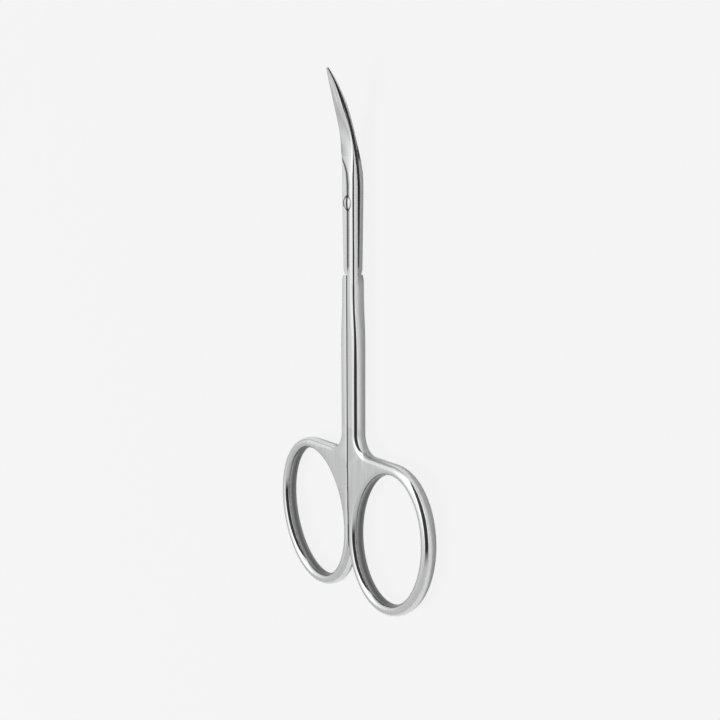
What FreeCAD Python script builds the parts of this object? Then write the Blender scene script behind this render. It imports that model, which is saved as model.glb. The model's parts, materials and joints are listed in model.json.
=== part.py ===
import FreeCAD, Part
import math
import os

import Sketcher

# Cuticle scissors, closed, lying on their back on a table. Millimetres.
# Origin: halfway along the closed pair, on the seam, in the plane that the pair rests on.
# +X towards the ring of the front half, +Y towards the tips, +Z up out of the front face.
# Each body is drawn from the pivot axis, and then moved along Y so that the origin lies halfway.

doc = FreeCAD.newDocument("cuticle_scissors")
sheet = doc.addObject("Spreadsheet::Sheet", "sizes")

SIZES = {
    # Forged bar of one half
    "bar_thickness": 2.7,
    "rim_radius": 0.65,
    "seam_gap": 0.12,
    "layer_gap": 0.05,
    # Finger ring and web
    "ring_offset": 11.09,
    "ring_drop": 56.6,
    "hole_width": 18.5,
    "hole_length": 23.35,
    "ring_band": 1.96,
    "ring_tilt": 15.8,
    "saddle_radius": 3.2,
    # Shank and lap joint
    "joint_width": 3.7,
    "shank_swell": 0.48,
    "swell_top": 14.5,
    "swell_foot": 25.5,
    "lobe_reach": 12.1,
    "heel_reach": 9.9,
    "notch_inset": 1.0,
    "notch_foot": 15.2,
    "shoulder_gap": 0.12,
    # Curved blade
    "blade_root": 2.0,
    "blade_reach": 22.3,
    "bend_radius": 44.0,
    "tip_width": 0.3,
    "tip_thickness": 0.2,
    "tip_rounding": 0.06,
    # Milled flat round the screw
    "flat_depth": 0.3,
    "flat_edge": 0.35,
    "flat_top": 8.0,
    "flat_neck": 6.2,
    "neck_inset": 0.3,
    # Pivot screw and its holes
    "head_diameter": 2.45,
    "head_height": 0.55,
    "head_sink": 0.1,
    "head_rounding": 0.15,
    "slot_width": 0.4,
    "slot_depth": 0.25,
    "pin_diameter": 1.6,
    "thread_diameter": 1.4,
    "running_clearance": 0.03,
    "seat_clearance": 0.06,
    "overrun": 5.0,
}

for row, (alias, size) in enumerate(SIZES.items(), start=1):
    sheet.set(f"A{row}", alias)
    sheet.set(f"B{row}", str(size))
    sheet.setAlias(f"B{row}", alias)
doc.recompute()

# Stations along the blade, as shares. The first is of its length. The next three say how far the width,
# the thickness and the rounding are from the tip's (0) to the root's (1). The last is how far the cutting
# edge stands out, of the half width.
STATION_SHARES = (
    (0.00, 1.00, 1.00, 1.00, 1.00),
    (0.30, 0.93, 0.84, 0.78, 0.95),
    (0.55, 0.78, 0.60, 0.56, 0.88),
    (0.78, 0.52, 0.38, 0.34, 0.85),
    (0.92, 0.24, 0.19, 0.15, 0.85),
    (1.00, 0.00, 0.00, 0.00, 0.85),
)


def plane_of(body, role):
    """One of the body's own origin planes."""
    return next(plane for plane in body.Origin.OriginFeatures if plane.Role == role)


def new_sketch(body, name, role, lift="0"):
    """A sketch on one of the body's planes, lifted along that plane's normal."""
    sketch = body.newObject("Sketcher::SketchObject", name)
    sketch.AttachmentSupport = [(plane_of(body, role), "")]
    sketch.MapMode = "FlatFace"
    sketch.setExpression("AttachmentOffset.Base.z", lift)
    return sketch


def number(sketch, expression):
    """The number that an expression of the sheet's sizes gives now."""
    result = sketch.evalExpression(expression)
    return float(getattr(result, "Value", result))


def bind(sketch, kind, *elements, to):
    """Adds a dimension to a sketch and ties it to an expression."""
    index = sketch.addConstraint(Sketcher.Constraint(kind, *elements, number(sketch, to)))
    sketch.setExpression(f"Constraints[{index}]", to)


def pin(sketch, geometry, end, x, y):
    """Ties one end of a piece of geometry to a place given by two expressions."""
    bind(sketch, "DistanceX", -1, 1, geometry, end, to=x)
    bind(sketch, "DistanceY", -1, 1, geometry, end, to=y)


def draw_polygon(sketch, corners):
    """A closed outline of straight lines through corners, each a pair of expressions."""
    places = [FreeCAD.Vector(number(sketch, x), number(sketch, y), 0) for x, y in corners]
    count = len(corners)
    for index in range(count):
        sketch.addGeometry(Part.LineSegment(places[index], places[(index + 1) % count]))
    for index, (x, y) in enumerate(corners):
        sketch.addConstraint(Sketcher.Constraint("Coincident", index, 2, (index + 1) % count, 1))
        pin(sketch, index, 1, x, y)


def draw_circle(sketch, diameter):
    """A circle round the sketch's origin."""
    radius = number(sketch, diameter) / 2
    circle = sketch.addGeometry(Part.Circle(FreeCAD.Vector(), FreeCAD.Vector(0, 0, 1), radius))
    sketch.addConstraint(Sketcher.Constraint("Coincident", circle, 3, -1, 1))
    bind(sketch, "Diameter", circle, to=diameter)


def draw_blade_section(sketch, left, right, bottom, top, rounding):
    """A blade's cross-section: flat inner face, two sides and an outer face with round edges."""
    x0, x1, z0, z1, radius = (number(sketch, item) for item in (left, right, bottom, top, rounding))
    up = FreeCAD.Vector(0, 0, 1)
    quarter = math.pi / 2

    def line(xa, za, xb, zb):
        return sketch.addGeometry(Part.LineSegment(FreeCAD.Vector(xa, za, 0), FreeCAD.Vector(xb, zb, 0)))

    def corner(x, z, first):
        circle = Part.Circle(FreeCAD.Vector(x, z, 0), up, radius)
        return sketch.addGeometry(Part.ArcOfCircle(circle, first, first + quarter))

    inner = line(x0, z0, x1, z0)
    edge_side = line(x1, z0, x1, z1 - radius)
    edge_round = corner(x1 - radius, z1 - radius, 0)
    outer = line(x1 - radius, z1, x0 + radius, z1)
    back_round = corner(x0 + radius, z1 - radius, quarter)
    back_side = line(x0, z1 - radius, x0, z0)
    for first, second in ((inner, edge_side), (back_side, inner)):
        sketch.addConstraint(Sketcher.Constraint("Coincident", first, 2, second, 1))
    for first, second in ((edge_side, edge_round), (edge_round, outer), (outer, back_round),
                          (back_round, back_side)):
        sketch.addConstraint(Sketcher.Constraint("Tangent", first, 2, second, 1))
    sketch.addConstraint(Sketcher.Constraint("Horizontal", inner))
    sketch.addConstraint(Sketcher.Constraint("Horizontal", outer))
    sketch.addConstraint(Sketcher.Constraint("Vertical", edge_side))
    sketch.addConstraint(Sketcher.Constraint("Vertical", back_side))
    sketch.addConstraint(Sketcher.Constraint("Equal", edge_round, back_round))
    pin(sketch, inner, 1, left, bottom)
    bind(sketch, "DistanceX", -1, 1, edge_side, 1, to=right)
    bind(sketch, "DistanceY", -1, 1, outer, 1, to=top)
    bind(sketch, "Radius", edge_round, to=rounding)


class RingEllipse:
    """An ellipse round the finger ring's middle, leaning outwards at its upper end."""

    def __init__(self, sketch, band):
        self.centre = ("sizes.ring_offset", "-sizes.ring_drop")
        self.length = f"sizes.hole_length + 2 * ({band})"
        self.width = f"sizes.hole_width + 2 * ({band})"
        self.turn = "90 - sizes.ring_tilt"
        self.middle = FreeCAD.Vector(*(number(sketch, item) for item in self.centre), 0)
        angle = math.radians(number(sketch, self.turn))
        self.major = FreeCAD.Vector(math.cos(angle), math.sin(angle), 0) * (number(sketch, self.length) / 2)
        self.minor = FreeCAD.Vector(-math.sin(angle), math.cos(angle), 0) * (number(sketch, self.width) / 2)
        self.curve = Part.Ellipse(self.middle + self.major, self.middle + self.minor, self.middle)

    def point(self, angle):
        """The point at an angle of the ellipse's own parameter."""
        return self.middle + self.major * math.cos(angle) + self.minor * math.sin(angle)

    def angle_facing(self, direction):
        """The parameter of the point that lies furthest out in a direction."""
        return math.atan2(self.minor.dot(direction), self.major.dot(direction))

    def tie(self, sketch, geometry):
        """Dimensions the ellipse: its middle, its two axes and its lean."""
        first = sketch.GeometryCount
        sketch.exposeInternalGeometry(geometry)
        pin(sketch, geometry, 3, *self.centre)
        bind(sketch, "Distance", first, to=self.length)
        bind(sketch, "Distance", first + 1, to=self.width)
        bind(sketch, "Angle", first, to=f"({self.turn}) * 1 deg")


def draw_bow(sketch):
    """Plan of one half below its blade: joint, shank, web and finger ring with its hole."""
    half_joint = "sizes.joint_width / 2"
    half_shank = "(sizes.joint_width / 2 + sizes.shank_swell)"
    root = "sizes.blade_root"
    outside = RingEllipse(sketch, "sizes.ring_band")
    hole = RingEllipse(sketch, "0")
    joint_left = FreeCAD.Vector(-number(sketch, half_joint), number(sketch, root), 0)
    joint_right = FreeCAD.Vector(number(sketch, half_joint), number(sketch, root), 0)

    # The inner side leaves the joint and touches the ring where that line is tangent to it.
    inner_angle = outside.angle_facing(FreeCAD.Vector(-1, 0, 0))
    for _ in range(20):
        along = outside.point(inner_angle) - joint_left
        inner_angle = outside.angle_facing(FreeCAD.Vector(along.y, -along.x, 0))
    top_angle = outside.angle_facing(FreeCAD.Vector(0, 1, 0))
    inner_touch = outside.point(inner_angle)
    ring_top = outside.point(top_angle)

    # The saddle's round is tangent to the web's upper edge and to the shank's outer edge.
    shank_x = number(sketch, half_shank)
    radius = number(sketch, "sizes.saddle_radius")
    saddle_top = FreeCAD.Vector(shank_x, ring_top.y + radius, 0)
    saddle_foot = FreeCAD.Vector(shank_x + radius, ring_top.y, 0)
    saddle_middle = FreeCAD.Vector(shank_x + radius, ring_top.y + radius, 0)

    # Two equal arcs, tangent to each other, narrow the shank to the joint.
    swell_foot = FreeCAD.Vector(shank_x, -number(sketch, "sizes.swell_foot"), 0)
    swell_top = FreeCAD.Vector(joint_right.x, -number(sketch, "sizes.swell_top"), 0)
    rise = swell_top.y - swell_foot.y
    inset = swell_foot.x - swell_top.x
    bow = (rise ** 2 + inset ** 2) / (4 * inset)
    sweep = math.asin(rise / (2 * bow))

    def arc(middle, size, first, last):
        circle = Part.Circle(middle, FreeCAD.Vector(0, 0, 1), size)
        return sketch.addGeometry(Part.ArcOfCircle(circle, first, last))

    def line(first, last):
        return sketch.addGeometry(Part.LineSegment(first, last))

    while inner_angle > top_angle:
        inner_angle -= 2 * math.pi
    inner_side = line(joint_left, inner_touch)
    ring = sketch.addGeometry(Part.ArcOfEllipse(outside.curve, inner_angle, top_angle))
    web_top = line(ring_top, saddle_foot)
    saddle = arc(saddle_middle, radius, math.pi, 1.5 * math.pi)
    shank_side = line(saddle_top, swell_foot)
    swell_out = arc(swell_foot - FreeCAD.Vector(bow, 0, 0), bow, 0, sweep)
    swell_in = arc(swell_top + FreeCAD.Vector(bow, 0, 0), bow, math.pi, math.pi + sweep)
    joint_side = line(swell_top, joint_right)
    joint_end = line(joint_right, joint_left)
    opening = sketch.addGeometry(hole.curve)

    outside.tie(sketch, ring)
    hole.tie(sketch, opening)
    for first, first_end, second, second_end in (
        (inner_side, 2, ring, 1),
        (ring, 2, web_top, 1),
        (web_top, 2, saddle, 2),
        (saddle, 1, shank_side, 1),
        (shank_side, 2, swell_out, 1),
        (swell_out, 2, swell_in, 2),
        (swell_in, 1, joint_side, 1),
    ):
        sketch.addConstraint(Sketcher.Constraint("Tangent", first, first_end, second, second_end))
    sketch.addConstraint(Sketcher.Constraint("Coincident", joint_side, 2, joint_end, 1))
    sketch.addConstraint(Sketcher.Constraint("Coincident", joint_end, 2, inner_side, 1))
    sketch.addConstraint(Sketcher.Constraint("Horizontal", web_top))
    sketch.addConstraint(Sketcher.Constraint("Vertical", shank_side))
    sketch.addConstraint(Sketcher.Constraint("Vertical", joint_side))
    bind(sketch, "Radius", saddle, to="sizes.saddle_radius")
    pin(sketch, inner_side, 1, f"-{half_joint}", root)
    pin(sketch, joint_side, 2, half_joint, root)
    pin(sketch, shank_side, 2, half_shank, "-sizes.swell_foot")
    bind(sketch, "DistanceY", -1, 1, joint_side, 1, to="-sizes.swell_top")


def cut(body, name, sketch, depth=None):
    """Pockets a sketch upwards from its plane, right through or to a depth, and checks that it cut."""
    before = body.Shape.Volume
    pocket = body.newObject("PartDesign::Pocket", name)
    pocket.Profile = sketch
    pocket.Reversed = True
    if depth is None:
        pocket.Type = "ThroughAll"
    else:
        pocket.Type = "Length"
        pocket.setExpression("Length", depth)
    doc.recompute()
    if not body.Shape.Volume < before:
        raise RuntimeError(f"{name} cuts nothing")


def cut_polygon(body, name, corners, lift="0", depth=None):
    """Pockets a straight-sided outline, drawn in plan at a height."""
    sketch = new_sketch(body, f"{name}_sketch", "XY_Plane", lift)
    draw_polygon(sketch, corners)
    cut(body, name, sketch, depth)


def cut_round(body, name, diameter, lift="0"):
    """Pockets a round hole on the pivot axis, from a height upwards."""
    sketch = new_sketch(body, f"{name}_sketch", "XY_Plane", lift)
    draw_circle(sketch, diameter)
    cut(body, name, sketch)


def edges_at(shape, wanted):
    """Names of the edges whose bounding box passes a test."""
    return [f"Edge{index}" for index, edge in enumerate(shape.Edges, start=1) if wanted(edge.BoundBox)]


def round_edges(body, name, base, wanted, radius):
    """Rounds the edges of a feature that pass a test."""
    fillet = body.newObject("PartDesign::Fillet", name)
    fillet.Base = (base, edges_at(base.Shape, wanted))
    fillet.setExpression("Radius", radius)
    doc.recompute()


def add_bar(body):
    """The flat forged bar: joint, shank, web and ring, with round rims on both faces."""
    outline = new_sketch(body, f"{body.Name}_outline", "XY_Plane")
    draw_bow(outline)
    bar = body.newObject("PartDesign::Pad", f"{body.Name}_bar")
    bar.Profile = outline
    bar.setExpression("Length", "sizes.bar_thickness")
    doc.recompute()
    end_y = number(outline, "sizes.blade_root")
    near = number(outline, "sizes.seam_gap") / 2
    flat = number(outline, "sizes.bar_thickness") / 2
    round_edges(
        body, f"{body.Name}_rims", bar,
        lambda box: box.ZLength < flat and box.YMin < end_y - near,
        "sizes.rim_radius",
    )


def cut_seam(body):
    """Takes away what lies past the seam, below the end of the lobe."""
    outer = "-sizes.joint_width / 2 - sizes.overrun"
    below = "-sizes.ring_drop - sizes.hole_length - sizes.overrun"
    cut_polygon(body, f"{body.Name}_seam", (
        ("sizes.seam_gap / 2", "-sizes.lobe_reach"),
        ("-sizes.notch_inset", "-sizes.lobe_reach"),
        ("-sizes.joint_width / 2", "-sizes.heel_reach"),
        (outer, "-sizes.heel_reach"),
        (outer, below),
        ("sizes.seam_gap / 2", below),
    ))


def cut_lap(body):
    """Takes away the lower layer, where the other half's lobe lies, down to the notched shoulder."""
    side = "(sizes.joint_width / 2 + sizes.shank_swell)"
    outer = f"{side} + sizes.overrun"
    shoulder = "-sizes.lobe_reach - sizes.shoulder_gap"
    above = "sizes.blade_root + sizes.overrun"
    cut_polygon(body, f"{body.Name}_lap", (
        (f"-({outer})", shoulder),
        ("sizes.notch_inset", shoulder),
        (side, "-sizes.notch_foot"),
        (outer, "-sizes.notch_foot"),
        (outer, above),
        (f"-({outer})", above),
    ), depth="(sizes.bar_thickness + sizes.layer_gap) / 2")


def add_blade(body, bend):
    """The curved blade, a loft through cross-sections along an arc that rises or falls with bend."""
    length = "(sizes.blade_reach - sizes.blade_root)"
    layer = "(sizes.bar_thickness - sizes.layer_gap) / 2"
    sections = []
    for index, (along, wide, thick, rounding, edge) in enumerate(STATION_SHARES):
        run = f"({along} * {length})"
        rise = f"(sizes.bend_radius - sqrt(sizes.bend_radius ^ 2 - {run} ^ 2))"
        inner = f"(sizes.bar_thickness + sizes.layer_gap) / 2 + ({bend}) * {rise}"
        half = f"({wide} * sizes.joint_width / 2 + (1 - {wide}) * sizes.tip_width / 2)"
        depth = f"({thick} * {layer} + (1 - {thick}) * sizes.tip_thickness)"
        corner = f"{rounding} * sizes.rim_radius + (1 - {rounding}) * sizes.tip_rounding"
        sketch = new_sketch(body, f"{body.Name}_section_{index}", "XZ_Plane", f"-sizes.blade_root - {run}")
        draw_blade_section(sketch, f"-{half}", f"{edge} * {half}", inner, f"{inner} + {depth}", corner)
        sections.append(sketch)
    blade = body.newObject("PartDesign::AdditiveLoft", f"{body.Name}_blade")
    blade.Profile = sections[0]
    blade.Sections = sections[1:]
    doc.recompute()


def cut_flat(body):
    """Mills the flat that runs from the lobe's end, past the screw, to the foot of the blade."""
    outer = "-sizes.joint_width / 2 - sizes.overrun"
    cut_polygon(body, f"{body.Name}_flat", (
        (outer, "sizes.flat_top"),
        ("-sizes.joint_width / 2", "sizes.flat_top"),
        ("-sizes.neck_inset", "sizes.flat_neck"),
        ("sizes.flat_edge", "0"),
        ("sizes.flat_edge", "-sizes.heel_reach"),
        ("sizes.seam_gap / 2", "-sizes.lobe_reach"),
        (outer, "-sizes.lobe_reach"),
    ), lift="sizes.bar_thickness - sizes.flat_depth")


def make_half(label, bend):
    """One half with its lap uppermost; bend is 1 if its blade curves up and -1 if it curves down."""
    body = doc.addObject("PartDesign::Body", label)
    body.Label = label
    add_bar(body)
    cut_seam(body)
    cut_lap(body)
    add_blade(body, bend)
    cut_flat(body)
    return body


# How far the rings reach below the pivot, and the pivot's place above the middle of the pair's length.
RING_FOOT = (
    "(sizes.ring_drop"
    " + sqrt(((sizes.hole_length / 2 + sizes.ring_band) * cos(sizes.ring_tilt * 1 deg)) ^ 2"
    " + ((sizes.hole_width / 2 + sizes.ring_band) * sin(sizes.ring_tilt * 1 deg)) ^ 2))"
)
PIVOT_Y = f"({RING_FOOT} - sizes.blade_reach) / 2"
HEAD_TOP = "sizes.bar_thickness - sizes.head_sink"
HEAD_FOOT = f"{HEAD_TOP} - sizes.head_height"
LAP_FACE = "(sizes.bar_thickness - sizes.layer_gap) / 2"


def make_front_half():
    """The half whose ring is at +X: upper layer at the joint, bored and counterbored for the screw."""
    body = make_half("front_half", 1)
    cut_round(body, "screw_seat", "sizes.head_diameter + 2 * sizes.seat_clearance",
              f"{HEAD_FOOT} - sizes.running_clearance")
    cut_round(body, "pivot_bore", "sizes.pin_diameter + 2 * sizes.running_clearance")
    return body


def make_rear_half():
    """The other half, the same forging turned over about the length, with its blade bent the other way."""
    body = make_half("rear_half", -1)
    cut_round(body, "thread_bore", "sizes.thread_diameter + 2 * sizes.running_clearance")
    body.Placement.Rotation = FreeCAD.Rotation(FreeCAD.Vector(0, 1, 0), 180)
    body.setExpression("Placement.Base.z", "sizes.bar_thickness")
    return body


def make_screw():
    """The slotted pivot screw: head in the front half, pin through it, thread in the rear half."""
    body = doc.addObject("PartDesign::Body", "pivot_screw")
    body.Label = "pivot_screw"
    profile = new_sketch(body, "screw_profile", "XZ_Plane")
    draw_polygon(profile, (
        ("0", "sizes.flat_depth"),
        ("sizes.thread_diameter / 2", "sizes.flat_depth"),
        ("sizes.thread_diameter / 2", LAP_FACE),
        ("sizes.pin_diameter / 2", LAP_FACE),
        ("sizes.pin_diameter / 2", HEAD_FOOT),
        ("sizes.head_diameter / 2", HEAD_FOOT),
        ("sizes.head_diameter / 2", HEAD_TOP),
        ("0", HEAD_TOP),
    ))
    turned = body.newObject("PartDesign::Revolution", "screw_turned")
    turned.Profile = profile
    turned.ReferenceAxis = (profile, ["V_Axis"])
    turned.Angle = 360
    doc.recompute()
    top = number(profile, HEAD_TOP)
    flat = number(profile, "sizes.head_rounding") / 2
    round_edges(
        body, "screw_rim", turned,
        lambda box: box.ZMin > top - flat,
        "sizes.head_rounding",
    )
    across = "sizes.head_diameter"
    cut_polygon(body, "screw_slot", (
        ("-sizes.slot_width / 2", f"-{across}"),
        ("sizes.slot_width / 2", f"-{across}"),
        ("sizes.slot_width / 2", across),
        ("-sizes.slot_width / 2", across),
    ), lift=f"{HEAD_TOP} - sizes.slot_depth")
    return body


pieces = [make_front_half(), make_rear_half(), make_screw()]
for piece in pieces:
    piece.setExpression("Placement.Base.y", PIVOT_Y)
doc.recompute()

for item in doc.Objects:
    if "Invalid" in item.State or "Error" in item.State:
        raise RuntimeError(f"{item.Label} did not build: {item.State}")
for piece in pieces:
    if piece.Shape.isNull() or not piece.Shape.isValid() or len(piece.Shape.Solids) != 1:
        raise RuntimeError(f"{piece.Label} is not one valid solid")

os.makedirs("parts", exist_ok=True)
for piece in pieces:
    piece.Shape.exportStep(f"parts/{piece.Label}.step")
    print(piece.Label, round(piece.Shape.Volume, 2), piece.Shape.optimalBoundingBox())
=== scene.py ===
# %% [markdown]
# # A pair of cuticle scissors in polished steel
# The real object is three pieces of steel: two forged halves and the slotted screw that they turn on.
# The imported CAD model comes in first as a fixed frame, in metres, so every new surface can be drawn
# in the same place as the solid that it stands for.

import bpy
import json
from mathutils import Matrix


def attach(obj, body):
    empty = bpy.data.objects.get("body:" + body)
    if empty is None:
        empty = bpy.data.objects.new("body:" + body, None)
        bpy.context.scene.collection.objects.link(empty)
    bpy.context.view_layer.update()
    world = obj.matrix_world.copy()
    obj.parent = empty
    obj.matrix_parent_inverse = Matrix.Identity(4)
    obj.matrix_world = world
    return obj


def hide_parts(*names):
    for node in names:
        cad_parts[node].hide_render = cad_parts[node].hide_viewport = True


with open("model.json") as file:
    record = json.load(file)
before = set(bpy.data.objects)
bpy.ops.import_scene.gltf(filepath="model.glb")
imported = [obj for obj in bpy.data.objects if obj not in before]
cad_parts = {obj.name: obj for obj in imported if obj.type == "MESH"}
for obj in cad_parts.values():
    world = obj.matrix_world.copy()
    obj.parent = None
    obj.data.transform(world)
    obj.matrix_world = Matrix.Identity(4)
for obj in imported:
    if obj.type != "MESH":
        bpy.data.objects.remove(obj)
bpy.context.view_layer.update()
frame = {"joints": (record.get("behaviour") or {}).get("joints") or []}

# %% Tools used below
import json
import math
from types import SimpleNamespace

import bmesh
import bpy
import numpy as np
from mathutils import Matrix, Vector

MM = 0.001
PIVOT_Y = frame["joints"][0]["pos_m"][1] / MM
print("pivot at y =", round(PIVOT_Y, 3), "mm")

# %% [markdown]
# ## The camera
# The photograph looks at the front faces from well round to the right and a little from above, so the
# two rings show as narrow ovals. The scissors lie on their back here, so the camera is turned on its
# side. Its place was found by fitting the outlines of both rings: a turn about the scissors' length, a
# lift towards the tips, a distance and a small roll. Four numbers are easier to adjust than a matrix.

# %% Camera
TURN, LIFT, ROLL = (math.radians(angle) for angle in (55.0095, 9.7221, 0.13118))
DISTANCE = 222.494
AIM = np.array((0.0, PIVOT_Y - 34.13, 1.35))
ASIDE, ABOVE = 1.15675, 7.0011
SENSOR_WIDTH = 36.0
PIXELS_PER_MM, IMAGE_WIDTH = 5.74, 720
NEAREST_SEEN = 0.005

right = np.array((math.cos(TURN), 0.0, -math.sin(TURN)))
forward = np.array((-math.sin(TURN) * math.cos(LIFT), -math.sin(LIFT), -math.cos(TURN) * math.cos(LIFT)))
up = np.cross(right, forward)
right, up = (right * math.cos(ROLL) - up * math.sin(ROLL), right * math.sin(ROLL) + up * math.cos(ROLL))
camera_place = AIM - DISTANCE * forward + ASIDE * right + ABOVE * up

camera = bpy.data.objects.new("camera", bpy.data.cameras.new("camera"))
bpy.context.scene.collection.objects.link(camera)
camera.data.sensor_width = SENSOR_WIDTH
camera.data.lens = SENSOR_WIDTH * PIXELS_PER_MM * DISTANCE / IMAGE_WIDTH
camera.data.clip_start = NEAREST_SEEN
axes = np.column_stack((right, up, -forward))
camera.matrix_world = Matrix.Translation(camera_place * MM) @ Matrix(axes.tolist()).to_4x4()
bpy.context.scene.camera = camera
print("lens", round(camera.data.lens, 2), "mm, camera at", np.round(camera_place, 1), "mm")

# %% [markdown]
# ## From arrays to meshes
# Every surface below is a grid of points: rows along the piece and columns round it. One helper numbers
# the squares of such a grid, and another puts the grids of a piece into one mesh, welds them where they
# meet and turns all faces outwards.

# %% Grid helpers
WELD = 0.0005
LEVEL_SLACK = 0.001


def grid_squares(rows, columns, ring, start):
    """Squares between neighbours in a grid of numbered points; with ring, the last column meets the first."""
    across = columns if ring else columns - 1
    row, column = np.meshgrid(np.arange(rows - 1), np.arange(across), indexing="ij")
    following = (column + 1) % columns
    corners = (row * columns + column, row * columns + following,
               (row + 1) * columns + following, (row + 1) * columns + column)
    return start + np.stack(corners, axis=-1).reshape(-1, 4)


def welded_mesh(name, grids, level_caps=(), end_cap=False):
    """One mesh from grids of points in mm, each given with whether its columns close into a ring.
    level_caps are heights whose open edges are filled with a flat face; end_cap closes the first grid's
    last row."""
    points, squares, start = [], [], 0
    for grid, ring in grids:
        rows, columns = grid.shape[:2]
        points.append(grid.reshape(-1, 3))
        squares.append(grid_squares(rows, columns, ring, start))
        start += rows * columns
    polygons = np.concatenate(squares).tolist()
    if end_cap:
        rows, columns = grids[0][0].shape[:2]
        polygons.append(list(range((rows - 1) * columns, rows * columns)))
    mesh = bpy.data.meshes.new(name)
    mesh.from_pydata(np.concatenate(points), [], polygons)
    work = bmesh.new()
    work.from_mesh(mesh)
    bmesh.ops.remove_doubles(work, verts=work.verts, dist=WELD)
    bmesh.ops.dissolve_degenerate(work, edges=work.edges, dist=WELD)
    for level in level_caps:
        rim = [edge for edge in work.edges
               if edge.is_boundary and all(abs(vert.co.z - level) < LEVEL_SLACK for vert in edge.verts)]
        bmesh.ops.triangle_fill(work, edges=rim, use_beauty=True)
    bmesh.ops.recalc_face_normals(work, faces=work.faces)
    open_edges = sum(not edge.is_manifold for edge in work.edges)
    work.to_mesh(mesh)
    work.free()
    print(name, len(mesh.polygons), "faces,", open_edges, "open edges")
    return mesh

# %% [markdown]
# ## One forged half
# A half is a flat bar that was forged, bent and ground: a finger ring at the foot, a web, a shank, a lap
# at half thickness round the screw, and a blade that curves up out of the flat. Its edges are not small
# bevels but full rounds, polished by hand. A quarter of a superellipse, from the edge of the flat to the
# middle of the side, gives that swelling side, and it is carried along the outline.

# %% Sizes and the rounded side
THICKNESS = 2.7
HALF_SEAM = 0.06
LAP_FACE = 1.375
FLAT_FACE = 2.4
SHANK_ROUNDING, RING_ROUNDING, HOLE_ROUNDING = 0.80, 0.92, 0.76
LAP_ROUNDING, SEAM_ROUNDING = 0.95, 0.16
SIDE_POWER, LAP_POWER, BLADE_POWER = 2.0, 3.0, 1.4
SIDE_STEPS = 13
quarter = np.linspace(0, np.pi / 2, SIDE_STEPS)


def round_over(power):
    """Share of inset and of height along a quarter superellipse, one row per power: the inset is 1 less a
    power of the sine, and the height is the same power of the cosine."""
    exponent = 2 / np.reshape(power, (-1, 1))
    height = np.clip(np.cos(quarter), 0, 1) ** exponent
    height[:, -1] = 0
    return 1 - np.sin(quarter) ** exponent, height


def seam_x(z):
    """Where the seam's wall stands at a height: straight, and rounded over like a quarter ellipse near both
    faces."""
    middle = THICKNESS / 2
    rise = np.clip((np.abs(z - middle) - (FLAT_FACE - middle)) / (THICKNESS - FLAT_FACE), 0, 1)
    return HALF_SEAM + SEAM_ROUNDING * (1 - np.sqrt(1 - rise ** 2))


print("side profile", SIDE_STEPS, "points to the middle,", SHANK_ROUNDING, "to", LAP_ROUNDING, "mm deep")

# %% Finger ring outline
RING_MIDDLE = np.array((11.09, -56.6))
RING_TILT = math.radians(15.8)
HOLE_HALF = np.array((23.35, 18.5)) / 2
BAND = 1.96
HOLE_POINTS, RING_POINTS = 288, 250
LONG_WAY = np.array((math.sin(RING_TILT), math.cos(RING_TILT)))
SHORT_WAY = np.array((math.cos(RING_TILT), -math.sin(RING_TILT)))


def ring_line(angle, band):
    """Points of an ellipse at a distance band outside the finger hole, and its outward normals.
    The angle runs clockwise from the ring's upper end."""
    half = HOLE_HALF + band
    cosine, sine = np.cos(angle)[:, None], np.sin(angle)[:, None]
    points = RING_MIDDLE + half[0] * cosine * LONG_WAY + half[1] * sine * SHORT_WAY
    normals = cosine / half[0] * LONG_WAY + sine / half[1] * SHORT_WAY
    return points, normals / np.linalg.norm(normals, axis=1)[:, None]


hole_line, hole_normal = ring_line(np.linspace(0, 2 * np.pi, HOLE_POINTS, endpoint=False), 0.0)
print("finger hole", np.round(np.ptp(hole_line, axis=0), 2), "mm")

# %% [markdown]
# The outline of the bow runs down the outer side of the shank, round the saddle, along the web, all the
# way round the ring and up the inner side, which leans a little. Each stretch is a short formula with its
# own outward normal. Where the inner side would cross the seam, the points are held at the seam, as the
# grinding wheel left them.

# %% Outline of the bow
SHANK_SIDE = 2.33
JOINT_SIDE = 1.85
BLADE_ROOT = 2.0
SADDLE = 3.2
BAR_FOOT = -39.0
SADDLE_POINTS, WEB_POINTS, INNER_POINTS = 40, 12, 90

outer_half = HOLE_HALF + BAND
top_angle = math.atan2(outer_half[1] * SHORT_WAY[1], outer_half[0] * LONG_WAY[1])
from_joint = np.array((-JOINT_SIDE, BLADE_ROOT)) - RING_MIDDLE
from_ring = np.array((from_joint @ LONG_WAY, from_joint @ SHORT_WAY)) / outer_half
inner_angle = math.atan2(from_ring[1], from_ring[0]) - math.acos(1 / np.hypot(*from_ring)) + 2 * math.pi
ring_part, ring_normal = ring_line(np.linspace(top_angle, inner_angle, RING_POINTS), BAND)


def straight(start, end, normal, count):
    """Points evenly along a line, without its first one, and its normal at each."""
    share = np.linspace(0, 1, count + 1)[1:, None]
    return start + (np.array(end) - start) * share, np.tile(normal, (count, 1))


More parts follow.
